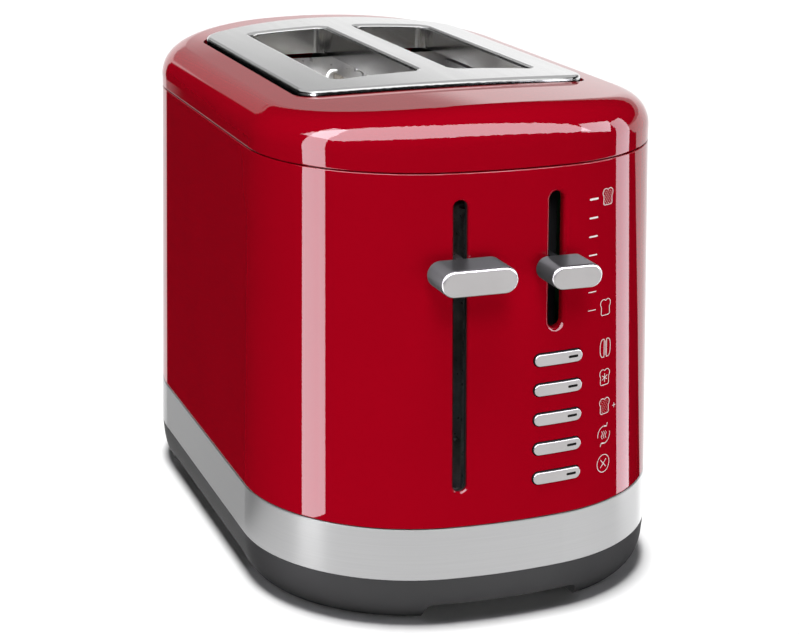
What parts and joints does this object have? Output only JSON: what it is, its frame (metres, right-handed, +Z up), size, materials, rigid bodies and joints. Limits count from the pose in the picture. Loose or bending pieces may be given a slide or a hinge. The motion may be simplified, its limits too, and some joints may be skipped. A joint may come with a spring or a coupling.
{
  "type": "pop-up toaster",
  "caption": "Long-bodied pop-up toaster with rounded enamel shell, steel top plate and band, side-by-side bread slots, lift lever, browning slider, push buttons and rear crumb tray.",
  "frame": {"origin": "on the table under the middle of the overall box", "axes": "+Z up, -Y towards the lever end, +X to the right when facing the lever end"},
  "size_m": [0.1808, 0.3087, 0.2127],
  "materials": {
    "red_enamel": "gloss enamel",
    "polished_steel": "satin polish",
    "brushed_band": "brushed along the band",
    "base_plastic": "matt, dark grey",
    "foot_rubber": "matt",
    "chassis_steel": "plain sheet and wire",
    "mica": "mica board, matt",
    "black_plastic": "matt black moulding",
    "copper_wire": "enamelled copper winding",
    "circuit_board": "green board",
    "satin_metal": "satin, bright bevels",
    "indicator_lens": "clear"
  },
  "bodies": {
    "housing": {"base_pan": "base_plastic", "rubber_feet": "foot_rubber", "trim_band": "brushed_band", "body_wrap": "red_enamel", "top_cover": "red_enamel", "top_plate": "polished_steel", "front_chassis_plate": "chassis_steel", "rear_chassis_plate": "chassis_steel", "left_reflector": "chassis_steel", "right_reflector": "chassis_steel", "left_heater_card": "mica", "centre_heater_card": "mica", "right_heater_card": "mica", "terminal_blocks": "black_plastic", "guide_rods": "chassis_steel", "lift_spring": "chassis_steel", "magnet_core": "chassis_steel", "magnet_coil": "copper_wire", "control_carrier": "black_plastic", "control_board": "circuit_board", "tact_switches": "black_plastic", "browning_potentiometer": "black_plastic", "chassis_screws": "chassis_steel", "cord_gland": "base_plastic"},
    "lift": {"carriage": "chassis_steel", "lever_arm": "chassis_steel", "lever_knob": "satin_metal", "left_bread_rack": "chassis_steel", "right_bread_rack": "chassis_steel", "armature": "chassis_steel"},
    "browning_slider": {"browning_knob": "satin_metal", "browning_stem": "black_plastic"},
    "tray": {"crumb_tray": "chassis_steel", "tray_handle": "base_plastic"},
    "left_outer_guide_frame": {"left_outer_guide": "chassis_steel"},
    "left_inner_guide_frame": {"left_inner_guide": "chassis_steel"},
    "right_inner_guide_frame": {"right_inner_guide": "chassis_steel"},
    "right_outer_guide_frame": {"right_outer_guide": "chassis_steel"},
    "bagel_key": {"bagel_button": "satin_metal", "bagel_lens": "indicator_lens"},
    "frozen_key": {"frozen_button": "satin_metal", "frozen_lens": "indicator_lens"},
    "extra_key": {"extra_button": "satin_metal", "extra_lens": "indicator_lens"},
    "reheat_key": {"reheat_button": "satin_metal", "reheat_lens": "indicator_lens"},
    "cancel_key": {"cancel_button": "satin_metal", "cancel_lens": "indicator_lens"}
  },
  "joints": [
    {"name": "lever_lift", "type": "slide", "parent": "housing", "child": "lift", "axis": [0, 0, 1], "range_m": [-0.0849, 0.02], "stiffness_N_per_m": 120, "springref_m": 0.02, "deforming": ["lift_spring"]},
    {"name": "browning_slide", "type": "slide", "parent": "housing", "child": "browning_slider", "axis": [0, 0, 1], "range_m": [-0.021, 0.021]},
    {"name": "tray_slide", "type": "slide", "parent": "housing", "child": "tray", "axis": [0, 1, 0], "range_m": [0, 0.2]},
    {"name": "left_outer_guide_hinge", "type": "hinge", "parent": "housing", "child": "left_outer_guide_frame", "pos_m": [-0.043, 0.01649, 0.048], "axis": [0, 1, 0], "range_deg": [-0.8, 2.8]},
    {"name": "left_inner_guide_hinge", "type": "hinge", "parent": "housing", "child": "left_inner_guide_frame", "pos_m": [-0.009, 0.01649, 0.048], "axis": [0, 1, 0], "range_deg": [-2.8, 0.8]},
    {"name": "right_inner_guide_hinge", "type": "hinge", "parent": "housing", "child": "right_inner_guide_frame", "pos_m": [0.009, 0.01649, 0.048], "axis": [0, 1, 0], "range_deg": [-0.8, 2.8]},
    {"name": "right_outer_guide_hinge", "type": "hinge", "parent": "housing", "child": "right_outer_guide_frame", "pos_m": [0.043, 0.01649, 0.048], "axis": [0, 1, 0], "range_deg": [-2.8, 0.8]},
    {"name": "bagel_press", "type": "slide", "parent": "housing", "child": "bagel_key", "axis": [0, 1, 0], "range_m": [0, 0.0015], "stiffness_N_per_m": 600},
    {"name": "frozen_press", "type": "slide", "parent": "housing", "child": "frozen_key", "axis": [0, 1, 0], "range_m": [0, 0.0015], "stiffness_N_per_m": 600},
    {"name": "extra_press", "type": "slide", "parent": "housing", "child": "extra_key", "axis": [0, 1, 0], "range_m": [0, 0.0015], "stiffness_N_per_m": 600},
    {"name": "reheat_press", "type": "slide", "parent": "housing", "child": "reheat_key", "axis": [0, 1, 0], "range_m": [0, 0.0015], "stiffness_N_per_m": 600},
    {"name": "cancel_press", "type": "slide", "parent": "housing", "child": "cancel_key", "axis": [0, 1, 0], "range_m": [0, 0.0015], "stiffness_N_per_m": 600}
  ],
  "couplings": [
    {"joint": "left_outer_guide_hinge", "follows": "lever_lift", "rad_per_m": -0.53449},
    {"joint": "left_inner_guide_hinge", "follows": "lever_lift", "rad_per_m": 0.53449},
    {"joint": "right_inner_guide_hinge", "follows": "lever_lift", "rad_per_m": -0.53449},
    {"joint": "right_outer_guide_hinge", "follows": "lever_lift", "rad_per_m": 0.53449}
  ]
}
